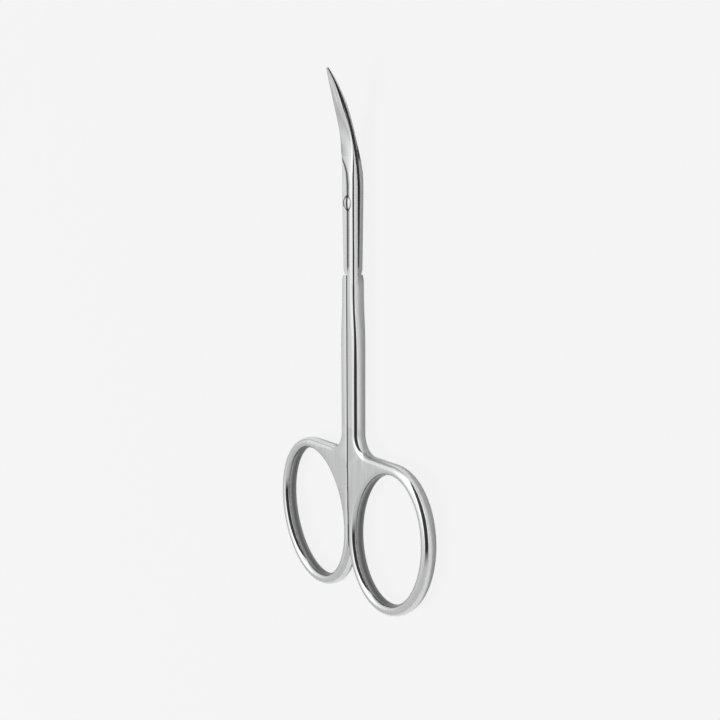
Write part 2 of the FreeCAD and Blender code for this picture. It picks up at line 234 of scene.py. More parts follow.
web_y = ring_part[0, 1]
saddle_turn = np.linspace(np.pi, 1.5 * np.pi, SADDLE_POINTS)
saddle_ray = np.column_stack((np.cos(saddle_turn), np.sin(saddle_turn)))
saddle_line = np.array((SHANK_SIDE + SADDLE, web_y + SADDLE)) + SADDLE * saddle_ray
foot_line, foot_normal = np.array(((SHANK_SIDE, BAR_FOOT),)), np.array(((1.0, 0.0),))
web_line, web_normal = straight(saddle_line[-1], ring_part[0], (0, 1), WEB_POINTS)
touch = ring_part[-1]
lean = (touch[0] + JOINT_SIDE) / (BLADE_ROOT - touch[1])
inner_end = (-JOINT_SIDE + lean * (BLADE_ROOT - BAR_FOOT), BAR_FOOT)
inner_line, inner_normal = straight(touch, inner_end, ring_normal[-1], INNER_POINTS)
bow_line = np.concatenate((foot_line, saddle_line, web_line[:-1], ring_part, inner_line))
bow_normal = np.concatenate((foot_normal, -saddle_ray, web_normal[:-1], ring_normal, inner_normal))
print("bow outline", len(bow_line), "points, ring foot at", round(ring_part[:, 1].min(), 2))

# %% Carry the side along both outlines
FULLER_FROM, FULLER_TO = 6, 12


def carried_side(line, normal, depth):
    """The rounded side carried along an outline: each point steps in by its share of its depth and takes its
    share of the height."""
    inset, height = round_over(SIDE_POWER)
    inset = np.concatenate((inset, inset[:, -2::-1]), axis=1)
    height = THICKNESS / 2 * (1 + np.concatenate((height, -height[:, -2::-1]), axis=1))
    plan = line[:, None] - (depth[:, None] * inset)[..., None] * normal[:, None]
    return np.concatenate((plan, np.broadcast_to(height[..., None], (*plan.shape[:2], 1))), axis=2)


walked = np.concatenate(((0,), np.cumsum(np.linalg.norm(np.diff(bow_line, axis=0), axis=1))))
bow_depth = np.interp(walked, (FULLER_FROM, FULLER_TO), (SHANK_ROUNDING, RING_ROUNDING))
bow_side = carried_side(bow_line, bow_normal, bow_depth)
bow_side[..., 0] = np.maximum(bow_side[..., 0], seam_x(bow_side[..., 2]))
bow_side[-1, :, 1] = BAR_FOOT
hole_side = carried_side(hole_line, -hole_normal, np.full(HOLE_POINTS, HOLE_ROUNDING))
hole_side = np.concatenate((hole_side, hole_side[:1]))
print("bow side", bow_side.shape, "hole side", hole_side.shape)

# %% [markdown]
# ## Shank, lap and blade
# From the foot of the shank to the tip, the half is a row of cross-sections. Each one is a closed chain:
# down the outer side, along the inner face, up the inner side and over the milled flat and its step. Two
# rows at the same place make a shoulder. The blade's width, depth and rounding come from a few stations,
# joined by a smooth cubic, and the whole blade rides on an arc. It could be one long loft between a few
# drawn sections, but formulas for each side keep the step and the shoulders sharp.

# %% Stations of the blade
BLADE_REACH = 22.3
BEND_RADIUS = 44.0
TIP_HALF, TIP_DEPTH = 0.15, 0.2
STATIONS = np.array((0.0, 0.30, 0.55, 0.78, 0.92, 1.0))
WIDTH_SHARES = np.array((1.0, 0.93, 0.78, 0.52, 0.24, 0.0))
DEPTH_SHARES = np.array((1.0, 0.84, 0.60, 0.38, 0.19, 0.0))
EDGE_SHARES = np.array((1.0, 0.95, 0.88, 0.85, 0.85, 0.85))
LEVEL_START = 0.08


def along_blade(y, values):
    """Cubic through the stations' values: each piece is a Hermite curve whose slopes come from its
    neighbours. A curve that hardly falls at first starts level."""
    share = np.clip((y - BLADE_ROOT) / (BLADE_REACH - BLADE_ROOT), 0, 1)
    slopes = np.gradient(values, STATIONS)
    slopes[0] = 0 if abs(values[1] - values[0]) < LEVEL_START else slopes[0]
    low = np.clip(np.searchsorted(STATIONS, share, side="right") - 1, 0, len(STATIONS) - 2)
    span = STATIONS[low + 1] - STATIONS[low]
    t = (share - STATIONS[low]) / span
    return ((2 * t ** 3 - 3 * t ** 2 + 1) * values[low] + (t ** 3 - 2 * t ** 2 + t) * span * slopes[low]
            + (3 * t ** 2 - 2 * t ** 3) * values[low + 1] + (t ** 3 - t ** 2) * span * slopes[low + 1])


def blade_half(y):
    """Half the blade's width: that of the tip, and a share of what the joint has more."""
    return TIP_HALF + (JOINT_SIDE - TIP_HALF) * along_blade(y, WIDTH_SHARES)


def bend_rise(y):
    """How far the blade has left the flat: the height of a circle over its tangent."""
    run = np.clip(y - BLADE_ROOT, 0, None)
    return BEND_RADIUS - np.sqrt(BEND_RADIUS ** 2 - run ** 2)


print("tip", round(float(bend_rise(BLADE_REACH)), 2), "mm above the lap")

# %% Rows along the bar
SWELL_FOOT, SWELL_TOP = -25.5, -14.5
SHANK_END, LAP_START = -12.22, -12.1
HEEL_TOP = -9.9
SLOPE_END = 8.2

shank_rows = np.concatenate((np.linspace(BAR_FOOT, SWELL_FOOT, 40),
                             np.linspace(SWELL_FOOT, SWELL_TOP, 45)[1:],
                             np.linspace(SWELL_TOP, SHANK_END, 24)[1:]))
gap_rows = np.array((SHANK_END, LAP_START))
lap_rows = np.concatenate((np.linspace(LAP_START, HEEL_TOP, 14),
                           np.linspace(HEEL_TOP, BLADE_ROOT, 48)[1:],
                           np.linspace(BLADE_ROOT, SLOPE_END, 64)[1:],
                           np.linspace(SLOPE_END, BLADE_REACH, 130)[1:]))
row_y = np.concatenate((shank_rows, gap_rows, lap_rows))[:, None]
in_shank = np.arange(len(row_y))[:, None] < len(shank_rows)
in_lap = np.arange(len(row_y))[:, None] >= len(shank_rows) + len(gap_rows)
print(len(row_y), "rows from", row_y[0, 0], "to", row_y[-1, 0])

# %% Lines along the bar
HEEL_FULL = -10.6
STEP_END = 10.0
STEP_PLACES = ((LAP_START, HALF_SEAM), (HEEL_FULL, -0.1), (3.0, -0.1), (5.0, -0.3), (6.2, -0.8),
               (7.4, -1.5), (8.6, -2.0), (STEP_END, -2.6))
SLOPE_WIDTHS = ((LAP_START, SEAM_ROUNDING), (HEEL_FULL, 0.95), (3.0, 0.95), (6.4, 0.9), (SLOPE_END, 0.6))
OFF_THE_BAR = -9.0


def ease(y, start, end):
    """Smooth step from 0 at start to 1 at end."""
    t = np.clip((y - start) / (end - start), 0, 1)
    return t * t * (3 - 2 * t)


def outer_side_x(y):
    """Distance of the outer side: straight shank, two equal arcs that narrow it to the joint, then the
    blade's edge."""
    rise, inset = SWELL_TOP - SWELL_FOOT, SHANK_SIDE - JOINT_SIDE
    bow = (rise ** 2 + inset ** 2) / (4 * inset)
    low, high = np.clip(y - SWELL_FOOT, 0, rise / 2), np.clip(SWELL_TOP - y, 0, rise / 2)
    shank = np.where(y < SWELL_FOOT + rise / 2, SHANK_SIDE - bow + np.sqrt(bow ** 2 - low ** 2),
                     JOINT_SIDE + bow - np.sqrt(bow ** 2 - high ** 2))
    return np.where(y > BLADE_ROOT, blade_half(y) * along_blade(y, EDGE_SHARES), shank)


def step_line(y):
    """Where the milled flat ends and the slope to the crest starts: beside the screw, then off to the left at
    the blade."""
    return np.where(y > STEP_END, OFF_THE_BAR, np.interp(y, *np.transpose(STEP_PLACES)))


def slope_width(y):
    """Width of the slope from the milled flat up to the crest: none at the heel, about a millimetre beside
    the screw."""
    return np.interp(y, *np.transpose(SLOPE_WIDTHS))


print("slope beside the screw", float(slope_width(0.0)), "mm wide, from x =", float(step_line(0.0)))

# %% [markdown]
# Each side of the cross-sections is worked out for all rows at once, as columns of one number per row. The
# wheel that ground the blade also left a shallow hollow near its root, a little deeper at the outer edge.

# %% Sides and faces of the cross-sections
EDGE_BREAK, EDGE_BREAK_SHARE = 0.22, 0.2
LAP_RAMP = (-15.0, -14.2)
HOLLOW_START, HOLLOW_DEEPEST, HOLLOW_END = 3.5, 10.5, 17.0
CREST_HOLLOW, EDGE_HOLLOW = 0.3, 0.36
NOTCH_X, NOTCH_RUN = 1.0, 2.98
HEEL_X = 1.0


def section_sides(bend):
    """Sides and faces of the cross-sections; bend is 1 for a blade that curves up, -1 for down. The shank's
    notch and the lap's heel are slanted lines, and the faces ride on the bend."""
    y = row_y
    row = SimpleNamespace(blade=y > BLADE_ROOT, half=blade_half(y), outer=outer_side_x(y))
    depth = TIP_DEPTH + (THICKNESS - LAP_FACE - TIP_DEPTH) * along_blade(y, DEPTH_SHARES)
    row.hollow = ease(y, HOLLOW_START, HOLLOW_DEEPEST) * (1 - ease(y, HOLLOW_DEEPEST, HOLLOW_END))
    row.inner_z = np.interp(y, LAP_RAMP, (THICKNESS / 2, LAP_FACE)) + bend * bend_rise(y)
    row.top_z = np.where(row.blade, row.inner_z + depth - CREST_HOLLOW * row.hollow, THICKNESS)
    row.notch = NOTCH_X + (SHANK_SIDE - NOTCH_X) * (SHANK_END - y) / NOTCH_RUN
    row.broken = np.where(in_shank, np.clip(row.outer - row.notch, 0, EDGE_BREAK),
                          np.minimum(EDGE_BREAK, EDGE_BREAK_SHARE * depth))
    row.first_z = row.inner_z + row.broken
    row.inner_x = np.where(row.blade, -row.half, -JOINT_SIDE + lean * (BLADE_ROOT - y))
    heel = -HEEL_X - (JOINT_SIDE - HEEL_X) * (y - LAP_START) / (HEEL_TOP - LAP_START)
    row.heel = np.where(y < HEEL_TOP, heel, OFF_THE_BAR)
    return row


# %% The milled flat and its crest
BACK_ROUNDING, BACK_SHARE = 0.5, 0.3
LEAST_RISE = 0.05


def on_slope(row, x):
    """Height of the milled flat and of the slope beside it: the flat's, and a rise from the step line on."""
    return FLAT_FACE + row.rise * np.clip(x - row.step_x, 0, None)


def add_back(row):
    """Adds the inner side, rounded over like a quarter ellipse but no higher than the flat and its slope, and
    the place where the slope starts."""
    row.step_x = step_line(row_y)
    row.rise = np.maximum(row.top_z - FLAT_FACE, LEAST_RISE) / slope_width(row_y)
    inset, height = round_over(SIDE_POWER)
    rounding = np.where(row.blade, np.minimum(BACK_ROUNDING, BACK_SHARE * row.half), BACK_ROUNDING)
    row.back_x = np.maximum(row.inner_x + rounding * inset[:, ::-1], row.heel)
    row.back_z = row.first_z + (row.top_z - row.first_z) * height[:, ::-1]
    row.back_z = np.minimum(row.back_z, on_slope(row, row.back_x))
    row.crest_x = np.maximum(row.step_x, row.back_x[:, -1:])
    row.crest_low = np.minimum(row.top_z, on_slope(row, row.crest_x))


# %% The outer rounding
LAP_EASE, BLADE_EASE, CREST_EASE = (-30.0, -16.0), (8.0, 17.0), (4.0, SLOPE_END)
CREST_FLAT, SHANK_FLAT = 0.02, 0.3
SLOPE_SOFTENING, LEAST_SLOPE = 0.3, 0.1


def add_outer(row):
    """Adds the rounding of the outer side, fuller at the lap and sharper at the blade, and the width that it
    leaves to the slope. The slope runs out smoothly: its width is half the sum of what is left and of that
    length's hypotenuse with a small softening."""
    width = slope_width(row_y)
    to_lap = ease(row_y, *LAP_EASE)
    power = SIDE_POWER + (LAP_POWER - SIDE_POWER) * to_lap
    power = power + (BLADE_POWER - LAP_POWER) * ease(row_y, *BLADE_EASE)
    row.inset, row.height = round_over(power)
    wanted = SHANK_ROUNDING + (LAP_ROUNDING - SHANK_ROUNDING) * to_lap
    room = row.outer - row.crest_x - width * (1 - ease(row_y, *CREST_EASE))
    row.rounding = np.minimum(wanted, np.where(in_lap, room - CREST_FLAT, row.outer - SHANK_FLAT))
    left = width - row.crest_x + row.step_x
    left = np.maximum((left + np.hypot(left, SLOPE_SOFTENING)) / 2, LEAST_SLOPE)
    row.crest_width = np.minimum(left, row.outer - row.rounding - row.crest_x)


# %% Down the outer side and along the inner face
LAP_MIDDLE_X, LAP_MIDDLE_SHARE = 1.0, 0.54
BLADE_MIDDLE_SHARE = 0.1


def outer_chain(row):
    """Down the outer side by its rounding, and round the broken edge to the notch."""
    row.notch_x = np.where(in_shank, np.minimum(row.outer - row.broken, row.notch),
                           np.minimum(LAP_MIDDLE_X, LAP_MIDDLE_SHARE * row.outer))
    side_x = row.outer - row.rounding * row.inset
    side_z = row.first_z + (row.top_z - EDGE_HOLLOW * row.hollow - row.first_z) * row.height
    return (np.concatenate((side_x, row.outer - row.broken, row.notch_x), axis=1),
            np.concatenate((side_z, row.inner_z, row.inner_z), axis=1))


def under_chain(row):
    """Along the inner face: on the shank round its lower side and up the seam, on the lap straight across."""
    steps = SIDE_STEPS - 1
    low_x = np.minimum(row.outer - row.rounding * row.inset[:, -2::-1], row.notch_x)
    low_z = row.inner_z * (1 - row.height[:, -2::-1])
    seam_z = row.inner_z * (1 - row.height[:, :-1])
    left = np.where(in_lap, np.maximum(row.inner_x, row.heel), HALF_SEAM)
    middle = HALF_SEAM + row.broken
    middle = np.where(in_lap & row.blade, np.minimum(middle, BLADE_MIDDLE_SHARE * row.outer), middle)
    face_x = row.notch_x + (middle - row.notch_x) * np.linspace(0, 1, steps + 1)[1:]
    lap_x = np.concatenate((face_x, np.repeat(left + row.broken, steps, axis=1)), axis=1)
    return (np.where(in_shank, np.concatenate((low_x, seam_x(seam_z)), axis=1), lap_x),
            np.where(in_shank, np.concatenate((low_z, seam_z), axis=1), row.inner_z))


# %% Up the inner side and over the flat
STRIP_INSETS = np.array((0.3, 0.1))
SPLIT_HEIGHTS = np.array((2.2, 2.27, 2.33))
SPLIT_FULL = -20.0
FLANK_STEPS, FLANK_SOFTNESS = 10, 0.3
flank = np.linspace(0, 1, FLANK_STEPS)
flank_rise = (1 - FLANK_SOFTNESS) * flank + FLANK_SOFTNESS * flank ** 2 * (3 - 2 * flank)
flank_turn = flank * np.pi / 2


def lap_inside(row):
    """Up the inner side of the lap, over the flat and up the slope, which turns from a quarter round at
    the heel into a soft ramp."""
    strip_x = np.maximum(row.crest_x - STRIP_INSETS, row.back_x[:, -1:])
    strip_z = np.minimum(row.crest_low, on_slope(row, strip_x))
    heel_share = ease(row_y, LAP_START, HEEL_FULL)
    out = 1 - np.cos(flank_turn) + (flank - 1 + np.cos(flank_turn)) * heel_share
    rise = np.sin(flank_turn) + (flank_rise - np.sin(flank_turn)) * heel_share
    slope_x = row.crest_x + row.crest_width * out
    slope_z = row.crest_low + (row.top_z - row.crest_low) * rise
    return (np.concatenate((row.back_x, strip_x, slope_x), axis=1),
            np.concatenate((row.back_z, strip_z, slope_z), axis=1))


def inside_chain(row):
    """The lap's inside, or on the shank the seam's wall, whose points move up to its rounded edge along
    the shank, so that they meet those of the lap."""
    to_top = row.height[:, ::-1]
    count = len(row_y)
    even_z = np.concatenate((row.first_z + (THICKNESS - row.first_z) * to_top,
                             np.full((count, FLANK_STEPS + 2), THICKNESS)), axis=1)
    edge_z = FLAT_FACE + (THICKNESS - FLAT_FACE) * np.sin(flank_turn)
    above = np.concatenate((SPLIT_HEIGHTS[1:], edge_z))
    split_z = np.concatenate((row.first_z + (SPLIT_HEIGHTS[0] - row.first_z) * to_top,
                              np.tile(above, (count, 1))), axis=1)
    wall_z = even_z + (split_z - even_z) * np.clip((row_y - BAR_FOOT) / (SPLIT_FULL - BAR_FOOT), 0, 1)
    lap_x, lap_z = lap_inside(row)
    return np.where(in_lap, lap_x, seam_x(wall_z)), np.where(in_lap, lap_z, wall_z)


# %% Weld bow, shank and blade
def half_sections(bend):
    """The chain of points round each cross-section: outer side, inner face, inner side and flat."""
    row = section_sides(bend)
    add_back(row)
    add_outer(row)
    chains = (outer_chain(row), under_chain(row), inside_chain(row))
    chain_x, chain_z = (np.concatenate(parts, axis=1) for parts in zip(*chains))
    return np.stack((chain_x, np.broadcast_to(row_y, chain_x.shape), chain_z), axis=2)


def half_mesh(name, bend, turned):
    """Both outlines' sides, the cross-sections and the two flat faces as one closed mesh, in metres in the
    part's frame. A turned half is rolled over about its length, so x and z change sign."""
    grids = [(half_sections(bend), True), (bow_side, False), (hole_side, False)]
    mesh = welded_mesh(name, grids, level_caps=(0.0, THICKNESS), end_cap=True)
    roll = Matrix.Diagonal((-1, 1, -1, 1)) if turned else Matrix.Identity(4)
    lift = Matrix.Translation((0, PIVOT_Y, THICKNESS if turned else 0))
    mesh.transform(Matrix.Scale(MM, 4) @ lift @ roll)
    return mesh


front_mesh = half_mesh("front_half_steel", 1, False)
rear_mesh = half_mesh("rear_half_steel", -1, True)

# %% [markdown]
# ## Holes and screw
# The holes were drilled after forging, so a turned cutter is taken away from each half: a seat for the
# head and a bore for the pin in the front one, a tapped hole in the rear one. The screw itself was turned
# on a lathe and slotted with a saw. A profile spun about the pivot gives both.

# %% Turned shapes
TURNED_STEPS = 96


def turned_mesh(name, profile):
    """A profile of radius and height, from axis to axis, spun about the pivot."""
    radius, height = np.array(profile, float).T
    angle = np.linspace(0, 2 * np.pi, TURNED_STEPS + 1)
    grid = np.stack((np.outer(np.cos(angle), radius), np.outer(np.sin(angle), radius),
                     np.broadcast_to(height, (len(angle), len(height)))), axis=2)
    mesh = welded_mesh(name, [(grid, False)])
    mesh.transform(Matrix.Scale(MM, 4) @ Matrix.Translation((0, PIVOT_Y, 0)))
    return mesh


def cut_away(mesh, cutter):
    """The mesh with the cutter's space taken out of it, as a new mesh."""
    holder = bpy.data.objects.new("holder", mesh)
    knife = bpy.data.objects.new("knife", cutter)
    bpy.context.scene.collection.objects.link(holder)
    bpy.context.scene.collection.objects.link(knife)
    boolean = holder.modifiers.new("cut", "BOOLEAN")
    boolean.object, boolean.operation, boolean.solver = knife, "DIFFERENCE", "EXACT"
    evaluated = holder.evaluated_get(bpy.context.evaluated_depsgraph_get())
    result = bpy.data.meshes.new_from_object(evaluated)
    for item in (holder, knife):
        bpy.data.objects.remove(item)
    result.name = mesh.name
    print(result.name, "cut,", len(result.polygons), "faces")
    return result


# %% Drill both halves
BORE, TAPPED_HOLE = 0.83, 0.73
SEAT, SEAT_MOUTH = 1.285, 1.40
SEAT_FLOOR, CHAMFER_FOOT, CHAMFER_TOP = 2.02, 2.30, 2.42
BELOW, OVER = -1.0, 4.0

front_cutter = ((0, BELOW), (BORE, BELOW), (BORE, SEAT_FLOOR), (SEAT, SEAT_FLOOR), (SEAT, CHAMFER_FOOT),
                (SEAT_MOUTH, CHAMFER_TOP), (SEAT_MOUTH, OVER), (0, OVER))
rear_cutter = ((0, BELOW), (TAPPED_HOLE, BELOW), (TAPPED_HOLE, OVER), (0, OVER))
front_mesh = cut_away(front_mesh, turned_mesh("front_cutter", front_cutter))
rear_mesh = cut_away(rear_mesh, turned_mesh("rear_cutter", rear_cutter))

# %% Pivot screw
HEAD, HEAD_FOOT, HEAD_TOP = 1.225, 2.05, 2.60
RIM_ROUNDING, RIM_MIDDLE, RIM_TURN = 0.18, 2.31, np.radians(76)
RIM_STEPS, DOME_STEPS = 8, 14
PIN, PIN_FOOT = 0.80, 1.325
THREAD, THREAD_FOOT, THREAD_CHAMFER = 0.70, 0.3, 0.08
SLOT_WIDTH, SLOT_REACH, SLOT_HEIGHT, SLOT_MIDDLE = 0.4, 4.0, 1.0, 2.85

rim_turn = np.linspace(0, RIM_TURN, RIM_STEPS)
rim_line = np.column_stack((HEAD - RIM_ROUNDING + RIM_ROUNDING * np.cos(rim_turn),
                            RIM_MIDDLE + RIM_ROUNDING * np.sin(rim_turn)))
dome_foot, dome_low = rim_line[-1]
dome_radius = np.linspace(dome_foot, 0, DOME_STEPS)[1:]
dome_line = np.column_stack((dome_radius, HEAD_TOP - (HEAD_TOP - dome_low) * (dome_radius / dome_foot) ** 2))
shaft = ((0, THREAD_FOOT), (THREAD - THREAD_CHAMFER, THREAD_FOOT), (THREAD, THREAD_FOOT + THREAD_CHAMFER),
         (THREAD, PIN_FOOT), (PIN, PIN_FOOT), (PIN, HEAD_FOOT), (HEAD, HEAD_FOOT))
screw_mesh = turned_mesh("pivot_screw_steel", np.concatenate((shaft, rim_line, dome_line)))
saw = bmesh.new()
bmesh.ops.create_cube(saw, size=1.0, matrix=Matrix.Translation((0, PIVOT_Y * MM, SLOT_MIDDLE * MM))
                      @ Matrix.Diagonal((SLOT_WIDTH * MM, SLOT_REACH * MM, SLOT_HEIGHT * MM, 1)))
saw_mesh = bpy.data.meshes.new("saw")
saw.to_mesh(saw_mesh)
saw.free()
screw_mesh = cut_away(screw_mesh, saw_mesh)

# %% [markdown]
# ## Finish
# The steel was mirror polished on every round and finely ground on the flats, so the flats are a little
# duller. The share of grinding is stored on the mesh: it is high where all faces round a point look
# straight up or down. Grinding strokes run along the length and shade the grey, with hairlines between them.

# %% Ground flats as an attribute
GROUND_FROM, GROUND_SPAN = 0.9, 0.09


def store(mesh, name, values):
    """Keeps one number per point on the mesh, for the material to read."""
    mesh.attributes.new(name, "FLOAT", "POINT").data.foreach_set("value", values.astype(np.float32))
    print(mesh.name, name, "mean", round(float(values.mean()), 3))


def mark_ground(mesh):
    """Stores at each point how squarely its faces look up or down: the least of their normals' heights,
    sharpened."""
    corner_vertex = np.empty(len(mesh.loops), np.int32)
    mesh.loops.foreach_get("vertex_index", corner_vertex)
    normal = np.empty(len(mesh.polygons) * 3, np.float32)
    mesh.polygons.foreach_get("normal", normal)
    total = np.empty(len(mesh.polygons), np.int32)
    mesh.polygons.foreach_get("loop_total", total)
    upright = np.repeat(np.abs(normal.reshape(-1, 3)[:, 2]), total)
    least = np.ones(len(mesh.vertices), np.float32)
    np.minimum.at(least, corner_vertex, upright)
    store(mesh, "ground", np.clip((least - GROUND_FROM) / GROUND_SPAN, 0, 1))


for steel in (front_mesh, rear_mesh, screw_mesh):
    mark_ground(steel)

# %% [markdown]
# A thin dark line of painted shade is mixed into the colour along the foot of the milled step, in the seam
# between the shanks, at the parting line of the joint and round the screw. The walls of the finger holes,
# the rim of the screw and the blade's edge near its root mirror something dark, and that is painted too, as a
# dark reflection in the same tone. It could be drawn lines or black card in the tent, but then it would
# change with the view and the light, so a second attribute holds the painted shade and reflection, and fades
# it out within a few tenths of a millimetre.

# %% Painted shade at the joint
# How the painted shade fades at the foot of the step and at the parting line, and how far it reaches.
STEP_FADE = ((-0.3, 0.0), (-0.1, 1.0), (0.45, 1.0), (1.0, 0.0))
STEP_LOWEST = 2.2
PARTING_SHADE, PARTING_FADE, PARTING_REACH = 0.7, 0.8, 1.05
PARTING_FROM_X = 0.7
PARTING_ENDS, PARTING_RUN_OUT = 8.0, 5.0
# Width and place of the painted dark reflection along the blade's inner edge near its root.
BLADE_RIM, BLADE_RIM_FADE, BLADE_RIM_LOWEST = 0.85, 0.5, 0.3
BLADE_RIM_STARTS, BLADE_RIM_ENDS = (6.5, 8.0), (8.5, 12.0)


def step_and_parting_shade(x, y, z, lap):
    """Painted shade: 1 at the foot of the milled step, falling up its slope, and less at the parting line
    over the lap's face, falling up the broken edge."""
    up_slope = (x - step_line(y)) / slope_width(y)
    foot_shade = np.interp(up_slope, *np.transpose(STEP_FADE)) * (z > STEP_LOWEST)
    parting_shade = PARTING_SHADE * np.clip(1 - PARTING_FADE * (z - lap) / EDGE_BREAK, 0, 1)
    parting_shade = parting_shade * (z < lap + PARTING_REACH * EDGE_BREAK) * (np.abs(x) > PARTING_FROM_X)
    return np.maximum(foot_shade, parting_shade * np.clip((PARTING_ENDS - y) / PARTING_RUN_OUT, 0, 1))


def blade_rim_shade(x, y, z, lap):
    """Painted dark reflection: 1 at the blade's inner edge near its root, falling with the distance from it
    and along the blade.
    """
    near = np.clip(1 - (x + blade_half(y) - (BLADE_RIM - BLADE_RIM_FADE)) / BLADE_RIM_FADE, 0, 1)
    return near * ease(y, *BLADE_RIM_STARTS) * (1 - ease(y, *BLADE_RIM_ENDS)) * (z > lap + BLADE_RIM_LOWEST)


# %% Painted shade and reflection as an attribute
JOINT_START = -12.11
SEAM_FADE = 0.14
SEAT_SHADE_RADIUS, SEAT_SHADE_LOWEST = 1.3, 2.0
# Tone and fade of the painted dark reflection on the finger holes' walls.
HOLE_SHADE_TONE, HOLE_SHADE_FADE = 0.75, 0.03
# Painted shade at the foot of the screw's head and painted dark reflection on its rim.
SCREW_SHADE_TOP, SCREW_SHADE_FADE = 2.44, 0.1
SCREW_RIM_SHADE, SCREW_RIM_FROM, SCREW_RIM_FADE = 0.9, 0.85, 0.25


def points_from_pivot(mesh):
    """The x, y and z of all points in mm, with the screw's axis at x = 0, y = 0."""
    points = np.empty(len(mesh.vertices) * 3, np.float32)
    mesh.vertices.foreach_get("co", points)
    return (points.reshape(-1, 3) / MM - np.array((0, PIVOT_Y, 0))).T


def hole_wall_shade(x, y):
    """The painted dark reflection on a finger hole's wall, falling with the distance outside the hole's
    ellipse.
    """
    across = np.column_stack((x, y)) - RING_MIDDLE
    way_out = np.hypot(across @ LONG_WAY / HOLE_HALF[0], across @ SHORT_WAY / HOLE_HALF[1])
    return HOLE_SHADE_TONE * np.clip(1 - (way_out - 1) / HOLE_SHADE_FADE, 0, 1)


def mark_painted_shade(mesh, turned):
    """Stores up to 1 where shade and dark reflections are painted on a half, falling to 0 with the distance
    from them.
    """
    x, y, z = points_from_pivot(mesh)
    if turned:
        x, z = -x, THICKNESS - z
    lap = LAP_FACE + (-1 if turned else 1) * bend_rise(y)
    in_joint = (y > JOINT_START) & (y < STEP_END)
    # Painted shade in the seam between the shanks.
    seam_shade = np.clip(1 - (x - HALF_SEAM) / SEAM_FADE, 0, 1) * (x > 0)
    painted_shade = np.where(in_joint, step_and_parting_shade(x, y, z, lap), np.where(y < LAP_START, seam_shade, 0))
    # Painted shade round the screw's seat.
    seat_shade = (np.hypot(x, y) < SEAT_SHADE_RADIUS) * (z > SEAT_SHADE_LOWEST)
    store(mesh, "painted_shade", np.max((painted_shade, seat_shade, hole_wall_shade(x, y), blade_rim_shade(x, y, z, lap)), axis=0))


def mark_screw_shade(mesh):
    """Stores painted shade: 1 in the corner round the screw's head, and a painted dark reflection, less, on
    its rim, falling upwards and inwards.
    """
    x, y, z = points_from_pivot(mesh)
    foot_shade = np.clip((SCREW_SHADE_TOP - z) / SCREW_SHADE_FADE, 0, 1)
    rim = SCREW_RIM_SHADE * np.clip((np.hypot(x, y) - SCREW_RIM_FROM) / SCREW_RIM_FADE, 0, 1)
    store(mesh, "painted_shade", np.maximum(foot_shade, rim))


mark_painted_shade(front_mesh, False)
mark_painted_shade(rear_mesh, True)
mark_screw_shade(screw_mesh)

# %% [markdown]
# The material reads both attributes. Metal takes its grey from its base colour, so the strokes and the
# painted shade darken that colour, and the grinding raises the roughness. An image could hold all this, but
# noise stretched along the length gives endless strokes at the right scale.

# %% Node helper
def add_node(tree, kind, values=(), **settings):
    """A new node of a kind, with settings on itself and values on its sockets, by name or number."""
    node = tree.nodes.new("ShaderNode" + kind)
    for setting, value in settings.items():
        setattr(node, setting, value)
    for socket, value in dict(values).items():
        node.inputs[socket].default_value = value
    return node


def grey(tone):
    """A neutral colour."""
    return (tone, tone, tone, 1)


# %% Strokes and painted shade
STROKE_LENGTHENING = (1.0, 0.04, 1.0)
STROKES, HAIRLINES = {"Scale": 1900.0, "Detail": 2.0}, {"Scale": 9000.0, "Detail": 3.0}
STROKE_LOW, STROKE_HIGH = 0.34, 0.66
STROKE_SHADE, STROKE_LIGHT = (0.95, 0.955, 0.965), 1.02
# Colour of the painted shade and painted dark reflection.
PAINTED_SHADE_COLOUR = (0.07, 0.07, 0.073, 1)


def stroke_colour(tree, strokes, tone):
    """The tone shaded by the strokes, mixed with the colour of the painted shade and reflection by its
    attribute.
    """
    tint = add_node(tree, "ValToRGB")
    shade, light = tint.color_ramp.elements
    shade.position, light.position = STROKE_LOW, STROKE_HIGH
    shade.color = (*(tone * share for share in STROKE_SHADE), 1)
    light.color = grey(tone * STROKE_LIGHT)
    tree.links.new(strokes.outputs["Fac"], tint.inputs["Fac"])
    painted_shade = add_node(tree, "Attribute", attribute_name="painted_shade")
    darken = add_node(tree, "Mix", {"B": PAINTED_SHADE_COLOUR}, data_type="RGBA")
    tree.links.new(painted_shade.outputs["Fac"], darken.inputs["Factor"])
    tree.links.new(tint.outputs["Color"], darken.inputs["A"])
    return darken.outputs["Result"]


# %% Roughness and fine relief
HAIRLINE_ROUGHNESS = 0.08
STROKE_RELIEF = {"Strength": 0.3, "Distance": 0.00003}
HAIRLINE_RELIEF = {"Strength": 0.05, "Distance": 0.00002}


def ground_roughness(tree, hairlines, polish, dull):
    """Roughness from polish to dull by the share of grinding, plus a little of the hairlines."""
    ground = add_node(tree, "Attribute", attribute_name="ground")
    rough = add_node(tree, "MapRange", {"To Min": polish, "To Max": dull})
    tree.links.new(ground.outputs["Fac"], rough.inputs["Value"])
    uneven = add_node(tree, "Math", {1: HAIRLINE_ROUGHNESS}, operation="MULTIPLY_ADD")
    tree.links.new(hairlines.outputs["Fac"], uneven.inputs[0])
    tree.links.new(rough.outputs["Result"], uneven.inputs[2])
    return uneven.outputs["Value"]


def fine_relief(tree, strokes, hairlines):
    """Normals waved by the strokes and then scratched by the hairlines."""
    wave = add_node(tree, "Bump", STROKE_RELIEF)
    tree.links.new(strokes.outputs["Fac"], wave.inputs["Height"])
    scratch = add_node(tree, "Bump", HAIRLINE_RELIEF)
    tree.links.new(hairlines.outputs["Fac"], scratch.inputs["Height"])
    tree.links.new(wave.outputs["Normal"], scratch.inputs["Normal"])
    return scratch.outputs["Normal"]


